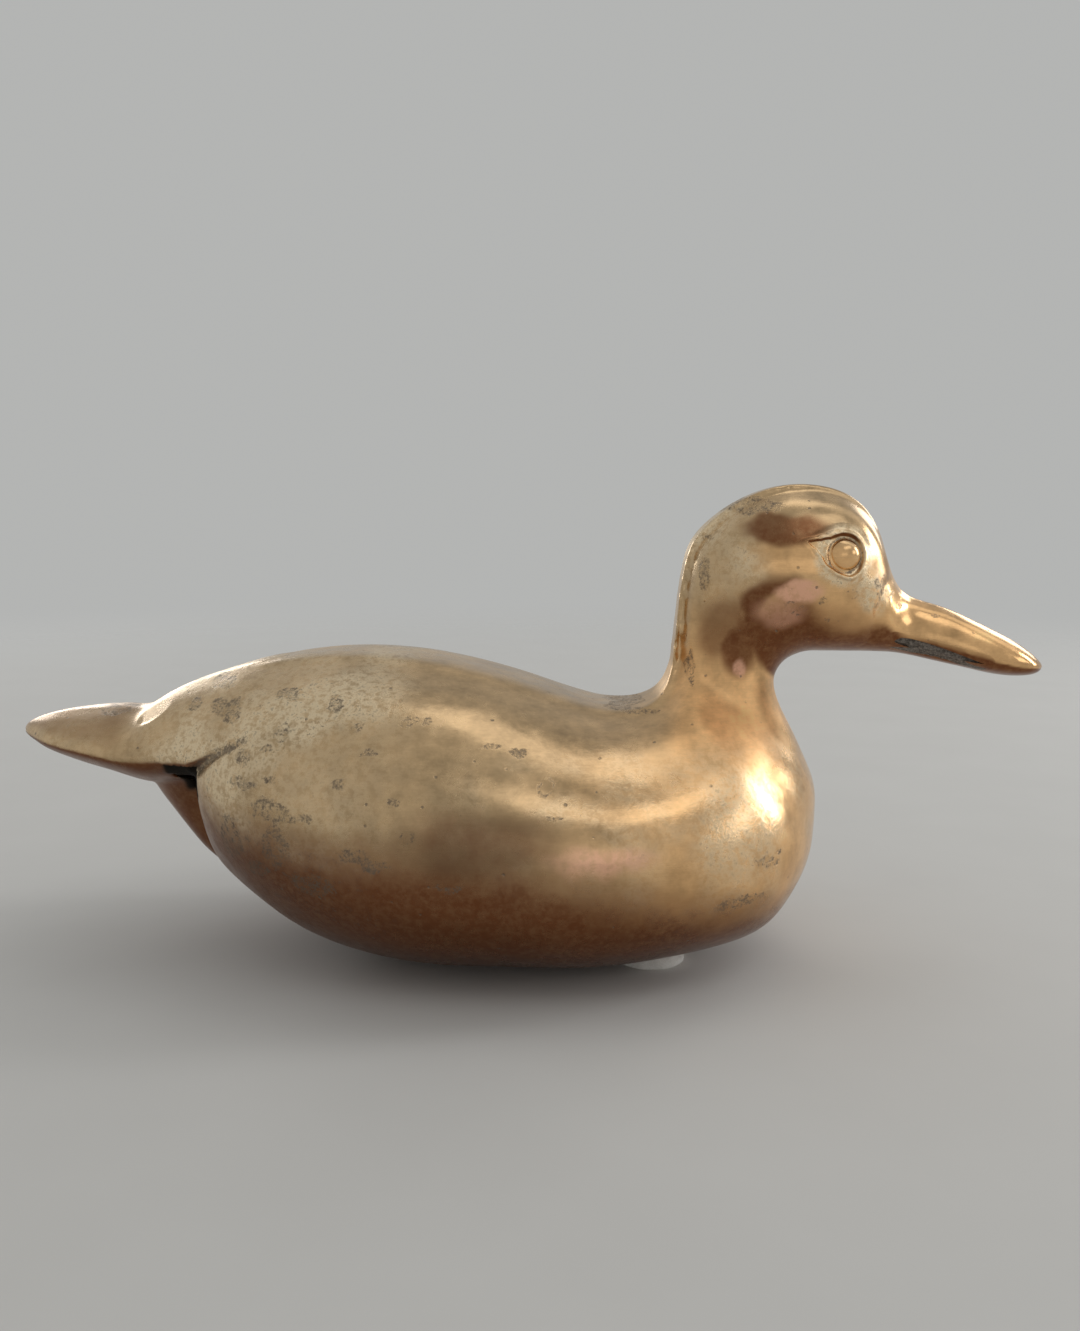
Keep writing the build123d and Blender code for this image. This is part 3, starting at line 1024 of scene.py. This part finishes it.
# Painted shade: brown below the belly's shore and on surfaces that face down, as a dark table would be
# mirrored in the brass, and darker on the top of the tail's tip and in the crescent on the head.
# Strengths, then where each kind begins and is complete, in millimetres or as the slope of the surface,
# and how far the blur shifts that
right_fade = (3, -3)
shore_strength = 0.35
shore_fade = (3, -3)
belly_strength = 0.62
belly_fade = (1, -16)
shore_blur = 2.0
head_fade = (66, 74)
under_fade = (0.0, -0.45)
under_blur = 0.10
under_tail_fade = (-60, -75)
under_head_fade = (62, 70)
under_head_front = (43, 50)
cheek_share = 0.6
crescent_strength = 0.92
tail_tip_strength = 0.40
tail_tip_slope = (0.5, 0.8)
tail_tip_fade = (-88, -98)
tail_tip_blur = 5
ball_painted_shade_fade = (3.2, 3.7)

# Golden tone: where it begins and is complete along the body, below the back, up the neck and on
# the bill, in millimetres, and how much of it the nape loses
warm_fade = (-5, 45)
warm_blur = 5
warm_top_fade = (68, 44)
warm_neck_rise = 40
warm_neck_fade = (32, 46)
warm_bill_fade = (80, 90)
cool_nape_share = 0.7

# Grain of the cast skin: strengths and fades, in millimetres
crust_least = 0.30
crust_more = 0.70
crust_fade = (-0.25, 0.35)
grain_fade = (-10, -44)
grain_blur = 7
tail_grain = 0.35
body_grain_more = 0.65
tail_grain_fade = (4, -3)
crusty_nape_strength = 0.8
chest_grain = 0.35
chest_grain_fade = (-30, 20)
chest_grain_top = (60, 50)
chest_grain_blur = (-0.4, 0.4)
lid_grain = 0.9
lid_grain_start = (3.5, 3.9)
lid_grain_end = (8.0, 6.0)

# Soot in rings, crease and the eye's ditch: strengths, widths and fades, in millimetres
ring_strength = 0.55
ring_width = 0.35
crease_soot_width = 1.4
crease_soot_fade = (0, 0.5)
ditch_soot = 0.75
ditch_soot_offset = 0.35
ditch_soot_width = 0.35
ball_soot_fade = (3.0, 3.5)

# Black corner under the wing tip, in millimetres and as a slope: grime and painted shade in the recess
# there
corner_front_x = -73.1
corner_inner_y = -3.5
corner_top_z = 49.7
corner_slope = 0.3
corner_blur = 0.3
corner_low_rear = (-80.4, -78.9)
corner_low_top = (40.6, 42.4)
corner_rear = (-82.5, -81.0)
corner_rise = (46.2, 47.6)

# Lining of the mouth, in millimetres
lining_reach = 1.7
lining_depth = 0.05
lining_rear_x = 86
lining_inner_y = 5


def patch(points, x, z, half_length, half_height, sharpness=1.0):
    """1 in the middle of an oval on the side of the duck, 0 outside."""
    reach = np.hypot((points[:, 0] - x) / half_length, (points[:, 2] - z) / half_height)
    return ramp(1 + patch_edge / sharpness, 1 - patch_edge / sharpness, reach)


def strongest(patches, places):
    """The strongest of several patches at each point."""
    return np.max([share * patch(places[name], *oval) for share, name, *oval in patches], axis=0)


def warp(points, size, seed, reach):
    """Shifts of the points that make an outline uneven."""
    return np.column_stack([waves(points, size, seed + i, 2) for i in range(3)]) * reach


def stain(points, x, z, half_length, half_height):
    """A faint oval with a darker rim."""
    reach = np.hypot((points[:, 0] - x) / half_length, (points[:, 2] - z) / half_height)
    return stain_core * ramp(*stain_core_fade, reach) + stain_rim * bell(reach - 1.0, stain_rim_width)


def wear(points, normals):
    """The masks that the brass material reads: wear, grain and stains, and painted shade, highlight and
    reflections.
    """
    x, y, z = points.T
    up = normals[:, 2]
    side = folded(points)
    right = ramp(*right_fade, y)
    blur = waves(points, *blur_waves)
    places = {name: side + warp(points, *values) for name, values in outlines.items()}
    warped = places["warped"]
    eye = np.where(z > eye_lowest_z, eye_distance(points), far_away)

    # Painted shade: brown below the belly's shore and on faces that look down, on the tail, the throat and
    # under the head, as a dark table would be mirrored in the brass
    above_shore = z - np.interp(x, *zip(*belly_shore)) - shore_blur * blur
    belly = shore_strength * ramp(*shore_fade, above_shore)
    belly = belly + belly_strength * ramp(*belly_fade, above_shore)
    under = ramp(*under_fade, up + under_blur * blur)
    under_head = under * (1 - cheek_share * patch(side, *cheek))
    under_head = under_head * ramp(*under_head_fade, z) * ramp(*under_head_front, x)
    # Painted dark reflection: a crescent round the copper-red patch of the head
    crescent = patch(warped, *crescent_outer) * (1 - patch(warped, *crescent_inner))
    # Painted shade on the faces of the tail's tip that look up
    tail_tip = tail_tip_strength * ramp(*tail_tip_slope, up)
    painted_shade = np.maximum.reduce([
        belly * (1 - ramp(*head_fade, z)), under * ramp(*under_tail_fade, x), under_head,
        crescent_strength * crescent * right, strongest(dark_right, places) * right,
        strongest(dark_both, places), tail_tip * ramp(*tail_tip_fade, x + tail_tip_blur * blur),
    ])
    painted_shade *= ramp(*ball_painted_shade_fade, eye)

    neck = warm_neck_rise * ramp(*warm_neck_fade, x)
    warm = ramp(*warm_fade, x + warm_blur * blur) * ramp(*warm_top_fade, z - neck)
    warm = np.maximum(warm, ramp(*warm_bill_fade, x))
    warm *= 1 - cool_nape_share * patch(warped, *cool_nape)
    warm = np.maximum(warm, patch(warped, *warm_crown))

    crust = crust_least + crust_more * ramp(*crust_fade, waves(points, *crust_waves))
    rear = tail_grain + body_grain_more * ramp(*tail_grain_fade, behind_joint(points))
    chest = chest_grain * ramp(*chest_grain_fade, x) * ramp(*chest_grain_top, z)
    lids = ramp(*lid_grain_start, eye) * ramp(*lid_grain_end, eye)
    # Grain of the cast skin; at the root of the bill it also paints a highlight
    grain_and_painted_highlight = np.maximum.reduce([
        crust * ramp(*grain_fade, x + grain_blur * blur) * rear,
        crusty_nape_strength * crust * patch(warped, *crusty_nape),
        strongest(grain_and_highlight_both, places), chest * ramp(*chest_grain_blur, blur), lid_grain * lids,
    ])

    soot = np.zeros(len(points))
    for spot in spots:
        soot = np.maximum(soot, stain(warped, *spot))
    for ring_x, ring_z, radius in rings:
        reach = np.hypot(warped[:, 0] - ring_x, warped[:, 2] - ring_z)
        soot = np.maximum(soot, ring_strength * bell(reach - radius, ring_width) * right)
    distance, depth = along_path(side, crease)
    soot = np.maximum(soot, bell(distance, crease_soot_width) * ramp(*crease_soot_fade, depth))
    ditch = bell(eye - eye_ball_radius - ditch_soot_offset, ditch_soot_width)
    soot = np.maximum(soot, ditch_soot * ditch)
    soot *= ramp(*ball_soot_fade, eye)

    # Black of grime and painted shade in the recess under the wing tip
    corner = (x < corner_front_x) & (side[:, 1] < corner_inner_y) & (z < corner_top_z)
    corner &= up < corner_slope
    low_part = ramp(*corner_low_rear, x + corner_blur * blur)
    low_part = low_part * ramp(*corner_low_top, z + corner_blur * blur)
    black_corner = corner * np.maximum(low_part, ramp(*corner_rear, x) * ramp(*corner_rise, z))
    lining = (mouth_distance(points) < lining_reach) & (x > lining_rear_x)
    lining &= (np.abs(y) < mouth_inner_y + lining_depth) & (np.abs(y) > lining_inner_y)
    return {
        "painted_shade": painted_shade,
        "warm": warm,
        "painted_copper_reflection": strongest(painted_copper_right, places) * right,
        "grain_and_painted_highlight": grain_and_painted_highlight,
        "soot": soot,
        "grime_and_painted_shade": np.maximum(strongest(painted_grey_reflection_right, places) * right, black_corner),
        "mouth": lining.astype(float),
        "dull": patch(warped, *dull_neck_foot),
    }


for piece in (*castings, *brazing):
    mesh = piece.data
    for name, values in wear(points_of(mesh), skin_normals[piece]).items():
        attribute = mesh.attributes.new(name, "FLOAT", "POINT")
        attribute.data.foreach_set("value", values.astype(np.float32))


# Materials

class Nodes:
    """A new material and short ways to add nodes to it."""

    def __init__(self, name):
        self.material = bpy.data.materials.new(name)
        self.material.use_nodes = True
        self.tree = self.material.node_tree
        self.shader = self.tree.nodes["Principled BSDF"]

    def feed(self, socket, value):
        if isinstance(value, bpy.types.NodeSocket):
            self.tree.links.new(value, socket)
        else:
            socket.default_value = value

    def add(self, kind, output, inputs, **settings):
        made = self.tree.nodes.new(kind)
        for name, value in settings.items():
            setattr(made, name, value)
        for name, value in inputs.items():
            self.feed(made.inputs[name], value)
        return made.outputs[output]

    def math(self, operation, first, second=0.0, third=0.0):
        inputs = {0: first, 1: second, 2: third}
        return self.add("ShaderNodeMath", 0, inputs, operation=operation)

    def step(self, value, low, high, low_to=0.0, high_to=1.0):
        """A smooth S between the outcomes at the low and the high end of a band."""
        ends = {"From Min": low, "From Max": high, "To Min": low_to, "To Max": high_to}
        inputs = {"Value": value, **ends}
        return self.add("ShaderNodeMapRange", 0, inputs, interpolation_type="SMOOTHSTEP")

    def blend(self, share, first, second, mode="MIX"):
        return self.add(
            "ShaderNodeMix", 2, {0: share, 6: first, 7: second}, data_type="RGBA", blend_type=mode)

    def noise(self, place, size, detail=3.0, roughness=0.55):
        """Noise from 0 to 1 with features of the given size in millimetres."""
        inputs = {"Vector": place, "Scale": 1 / size, "Detail": detail, "Roughness": roughness}
        return self.add("ShaderNodeTexNoise", 0, inputs)

    def place(self, stretch=(1, 1, 1)):
        """Place on the object in millimetres."""
        seen = self.add("ShaderNodeTexCoord", 3, {})
        scale = tuple(share / mm for share in stretch)
        return self.add("ShaderNodeVectorMath", 0, {0: seen, 1: scale}, operation="MULTIPLY")

    def mask(self, name):
        return self.add("ShaderNodeAttribute", 2, {}, attribute_name=name)

    def bump(self, height):
        """Normal for a height in millimetres."""
        inputs = {"Strength": 1.0, "Distance": mm, "Height": height}
        return self.add("ShaderNodeBump", 0, inputs)


olive = (0.64, 0.44, 0.24, 1)
gold = (0.90, 0.545, 0.255, 1)
# Brown of the painted shade
shade_brown = (0.20, 0.075, 0.031, 1)
# Red of the painted copper reflections
reflection_red = (1.0, 0.56, 0.37, 1)
# Pale of the grain, which at the root of the bill is a painted highlight
pale = (0.94, 0.76, 0.51, 1)
soot_grey = (0.20, 0.155, 0.115, 1)
black = (0.03, 0.025, 0.02, 1)
lead_grey = (0.30, 0.26, 0.225, 1)

# Noises of the brass: size in millimetres, detail, roughness, and how much it is drawn out
broad_noise = (16, 3)
cloud_noise = (4.5, 4, 0.6)
mottle_noise = (1.7, 5, 0.7)
speck_noise = (0.55, 4, 0.7)
streak_noise = (0.5, 3, 0.6)
streak_stretch = (0.12, 0.12, 1.6)
freckle_spacing = 4.2

# Bands: low and high end of a noise or mask, then the outcome at each end, which is 0 and 1 where
# it isn't given. First the brightness, then the shares of the layers of colour
broad_light = (0.3, 0.7, 0.80, 1.12)
cloud_light = (0.3, 0.7, -0.10, 0.08)
streak_light = (0.3, 0.7, -0.03, 0.03)
mottle_light = (0.35, 0.65, -0.05, 0.04)
pale_mottle = (0.38, 0.56, 0.25, 0.95)
brown_edge = (0.0, 1.0)
brown_limit = (0.0, 0.2)
brown_mottle = (0.30, 0.60, 0.86, 1.0)
copper_mottle = (0.35, 0.55, 0.55, 1.0)
dot_speck = (0.54, 0.66)
dot_cloud = (0.45, 0.62, 0.05, 0.75)
worn_mottle = (0.57, 0.66, 0.0, 0.45)
smudge_edge = (0.25, 0.95)
smudge_limit = (0.0, 0.3, 0.0, 0.85)
freckle_size = (0.12, 0.05)
freckle_cloud = (0.48, 0.58)
lining_speck = (0.35, 0.65, 0.25, 1.0)

# How ragged the borders of the painted shade and of the soot are, and how dark a freckle is
brown_raggedness = 0.45
smudge_raggedness = 1.9
freckle_share = 0.75

# Roughness of the brass: bright and cloudy places, what the masks and stains add, and the least
# roughness of the mouth and of the grime and painted shade
bright_roughness = 0.20
cloudy_roughness = 0.28
roughness_cloud = (0.3, 0.7)
warm_roughness = -0.05
mask_roughness = {"grain_and_painted_highlight": 0.10, "dull": 0.26, "painted_shade": 0.05}
smudge_roughness = 0.2
dot_roughness = 0.15
mouth_roughness = 0.55
grime_roughness = 0.8

# Fine relief of the brass, in millimetres
mottle_height = 0.02
streak_height = 0.003
grain_speck_height = 0.06
grain_mottle_height = 0.10
mouth_speck_height = 0.10
smudge_height = -0.05
freckle_height = -0.10

# How much smoother the polished braze is
braze_shine = 0.02


def aged_brass(name, shine=0.0):
    n = Nodes(name)
    place = n.place()
    broad = n.noise(place, *broad_noise)
    cloud = n.noise(place, *cloud_noise)
    mottle = n.noise(place, *mottle_noise)
    speck = n.noise(place, *speck_noise)
    streak = n.noise(n.place(streak_stretch), *streak_noise)
    names = ("painted_shade", "warm", "painted_copper_reflection", "grain_and_painted_highlight", "soot", "grime_and_painted_shade", "mouth", "dull")
    masks = {name: n.mask(name) for name in names}

    color = n.blend(masks["warm"], olive, gold)
    value = n.step(broad, *broad_light)
    for noise, light in ((cloud, cloud_light), (streak, streak_light), (mottle, mottle_light)):
        value = n.math("ADD", value, n.step(noise, *light))
    grey = n.add("ShaderNodeCombineColor", 0, {0: value, 1: value, 2: value})
    color = n.blend(1.0, color, grey, "MULTIPLY")
    # Paler where the skin is grainy, which at the root of the bill is a painted highlight
    paled = n.math("MULTIPLY", masks["grain_and_painted_highlight"], n.step(mottle, *pale_mottle))
    color = n.blend(paled, color, pale)
    # Painted shade in brown, with a ragged border
    uneven = n.math("SUBTRACT", cloud, 0.5)
    edge = n.math("MULTIPLY_ADD", uneven, brown_raggedness, masks["painted_shade"])
    browned = n.math("MULTIPLY", n.step(edge, *brown_edge), n.step(masks["painted_shade"], *brown_limit))
    browned = n.math("MULTIPLY", browned, n.step(mottle, *brown_mottle))
    color = n.blend(browned, color, shade_brown)
    # Painted reflections of warm things in copper red
    reddish = n.math("MULTIPLY", masks["painted_copper_reflection"], n.step(mottle, *copper_mottle))
    color = n.blend(reddish, color, reflection_red)
    dots = n.math("MULTIPLY", masks["grain_and_painted_highlight"], n.step(speck, *dot_speck))
    dots = n.math("MULTIPLY", dots, n.step(cloud, *dot_cloud))
    color = n.blend(dots, color, soot_grey)
    worn = n.math("MULTIPLY", masks["grain_and_painted_highlight"], n.step(mottle, *worn_mottle))
    color = n.blend(worn, color, soot_grey)
    ragged = n.math("ADD", n.math("SUBTRACT", mottle, 0.5), n.math("SUBTRACT", speck, 0.5))
    smudge = n.step(
        n.math("MULTIPLY_ADD", ragged, smudge_raggedness, masks["soot"]), *smudge_edge)
    smudge = n.math("MULTIPLY", smudge, n.step(masks["soot"], *smudge_limit))
    color = n.blend(smudge, color, soot_grey)
    spacing = {"Vector": place, "Scale": 1 / freckle_spacing, "Randomness": 1.0}
    cells = n.add("ShaderNodeTexVoronoi", 0, spacing)
    freckle = n.math("MULTIPLY", n.step(cells, *freckle_size), n.step(cloud, *freckle_cloud))
    color = n.blend(n.math("MULTIPLY", freckle, freckle_share), color, soot_grey)
    color = n.blend(masks["mouth"], color, n.blend(n.step(speck, *lining_speck), black, lead_grey))
    # Black of grime and painted shade: the recess under the wing tip, and the grey painted dark reflection
    # on the flank
    color = n.blend(masks["grime_and_painted_shade"], color, black)
    n.feed(n.shader.inputs["Base Color"], color)
    n.shader.inputs["Metallic"].default_value = 1.0

    ends = (bright_roughness - shine, cloudy_roughness - shine)
    rough = n.step(cloud, *roughness_cloud, *ends)
    rough = n.math("MULTIPLY_ADD", masks["warm"], warm_roughness, rough)
    for name, more in mask_roughness.items():
        rough = n.math("MULTIPLY_ADD", masks[name], more, rough)
    rough = n.math("MULTIPLY_ADD", smudge, smudge_roughness, rough)
    rough = n.math("MULTIPLY_ADD", dots, dot_roughness, rough)
    rough = n.math("MAXIMUM", rough, n.math("MULTIPLY", masks["mouth"], mouth_roughness))
    rough = n.math("MAXIMUM", rough, n.math("MULTIPLY", masks["grime_and_painted_shade"], grime_roughness))
    n.feed(n.shader.inputs["Roughness"], rough)

    height = n.math("MULTIPLY", mottle, mottle_height)
    height = n.math("MULTIPLY_ADD", streak, streak_height, height)
    for noise, mask, most in (
        (speck, "grain_and_painted_highlight", grain_speck_height),
        (mottle, "grain_and_painted_highlight", grain_mottle_height),
        (speck, "mouth", mouth_speck_height),
    ):
        height = n.math("MULTIPLY_ADD", n.math("MULTIPLY", noise, masks[mask]), most, height)
    height = n.math("MULTIPLY_ADD", smudge, smudge_height, height)
    height = n.math("MULTIPLY_ADD", freckle, freckle_height, height)
    n.feed(n.shader.inputs["Normal"], n.bump(height))
    return n.material


# Wool: noises as above, colours, and the bands of its tangle
felt_tangle_noise = (0.35, 5, 0.7)
felt_tangle_stretch = (1, 1, 2.2)
felt_cloud_noise = (2.5, 3)
felt_light = (0.93, 0.91, 0.87, 1)
felt_dark = (0.85, 0.83, 0.79, 1)
felt_shade = (0.55, 0.52, 0.47, 1)
felt_cloud = (0.35, 0.65)
felt_shade_tangle = (0.62, 0.40, 0.0, 0.35)
felt_rough_tangle = (0.3, 0.7, 0.85, 1.0)
felt_sheen = 0.3
felt_height = 0.12


def wool_felt():
    n = Nodes("wool_felt")
    tangle = n.noise(n.place(felt_tangle_stretch), *felt_tangle_noise)
    cloud = n.noise(n.place(), *felt_cloud_noise)
    color = n.blend(n.step(cloud, *felt_cloud), felt_light, felt_dark)
    color = n.blend(n.step(tangle, *felt_shade_tangle), color, felt_shade)
    n.feed(n.shader.inputs["Base Color"], color)
    n.feed(n.shader.inputs["Roughness"], n.step(tangle, *felt_rough_tangle))
    n.shader.inputs["Sheen Weight"].default_value = felt_sheen
    n.feed(n.shader.inputs["Normal"], n.bump(n.math("MULTIPLY", tangle, felt_height)))
    return n.material


def dress(piece, material):
    piece.data.materials.clear()
    piece.data.materials.append(material)


brass = aged_brass("aged_brass")
braze = aged_brass("polished_braze", braze_shine)
felt = wool_felt()
for piece in castings:
    dress(piece, brass)
for piece in brazing:
    dress(piece, braze)
for piece in pads:
    dress(piece, felt)


# Stage: a round pale floor that fades into the even grey of the studio

floor_radius = 1.2
floor_segments = 128
floor_fade = (0.35, 1.15)
floor_noise = (40, 3)
floor_dark = (0.60, 0.59, 0.57, 1)
floor_light = (0.64, 0.63, 0.61, 1)
floor_roughness = 0.8
wall_grey = (0.455, 0.46, 0.452, 1)


def pale_floor():
    n = Nodes("pale_floor")
    place = n.place()
    color = n.blend(n.noise(place, *floor_noise), floor_dark, floor_light)
    n.feed(n.shader.inputs["Base Color"], color)
    n.shader.inputs["Roughness"].default_value = floor_roughness
    away = n.add("ShaderNodeVectorMath", 1, {0: place}, operation="LENGTH")
    fade = n.step(away, *(reach / mm for reach in floor_fade))
    clear = n.add("ShaderNodeBsdfTransparent", 0, {})
    mixed = n.add("ShaderNodeMixShader", 0, {0: fade, 1: n.shader.outputs[0], 2: clear})
    n.feed(n.tree.nodes["Material Output"].inputs["Surface"], mixed)
    return n.material


form = bmesh.new()
bmesh.ops.create_circle(form, cap_ends=True, segments=floor_segments, radius=floor_radius)
floor = add_object("floor", mesh_from("floor", form))
dress(floor, pale_floor())

world = bpy.data.worlds.new("studio")
bpy.context.scene.world = world
world.use_nodes = True
world.node_tree.nodes["Background"].inputs["Color"].default_value = wall_grey
world.node_tree.nodes["Background"].inputs["Strength"].default_value = 1.0

# Lamps: name, azimuth and elevation in degrees, width and height in metres, radiance
lamps = [
    ("window_right", 103, 18, 0.26, 0.75, 9.0),
    ("window_front_right", 70, 18, 0.65, 0.45, 1.2),
    ("ceiling_right", 107, 48, 0.6, 0.95, 0.42),
    ("ceiling_front_right", 38, 54, 1.25, 0.45, 0.8),
    ("ceiling_above", 142, 74, 0.8, 0.6, 0.85),
    ("window_back_right", 140, 20, 0.5, 0.5, 2.8),
    ("window_left", -146, 11, 0.5, 0.3, 4.2),
    ("fill_front", 3, 10, 1.0, 0.45, 0.22),
]
lamp_distance = 1.6
lamp_target = Vector((0.02, 0, 0.06))


def softbox(name, azimuth, elevation, width, height, radiance):
    """Area lamp that faces the duck. Azimuth 0 is in front, 90 at the bill's side."""
    lamp = bpy.data.lights.new(name, "AREA")
    lamp.shape = "RECTANGLE"
    lamp.size, lamp.size_y = width, height
    lamp.energy = radiance * width * height * pi
    holder = bpy.data.objects.new(name, lamp)
    bpy.context.scene.collection.objects.link(holder)
    a, e = radians(azimuth), radians(elevation)
    back = Vector((sin(a) * cos(e), -cos(a) * cos(e), sin(e)))
    holder.location = lamp_target + back * lamp_distance
    holder.rotation_mode = "QUATERNION"
    holder.rotation_quaternion = back.to_track_quat("Z", "Y")
    holder.visible_camera = False


for lamp in lamps:
    softbox(*lamp)

# Camera
camera_data = bpy.data.cameras.new("camera")
camera_data.sensor_width = camera_sensor
camera_data.lens = camera_lens
camera_data.clip_start = camera_nearest
camera = bpy.data.objects.new("camera", camera_data)
bpy.context.scene.collection.objects.link(camera)
camera.location = camera_place
camera.rotation_euler = (radians(90 - camera_pitch), 0, radians(camera_yaw))
bpy.context.scene.camera = camera
bpy.context.scene.view_settings.view_transform = "Standard"
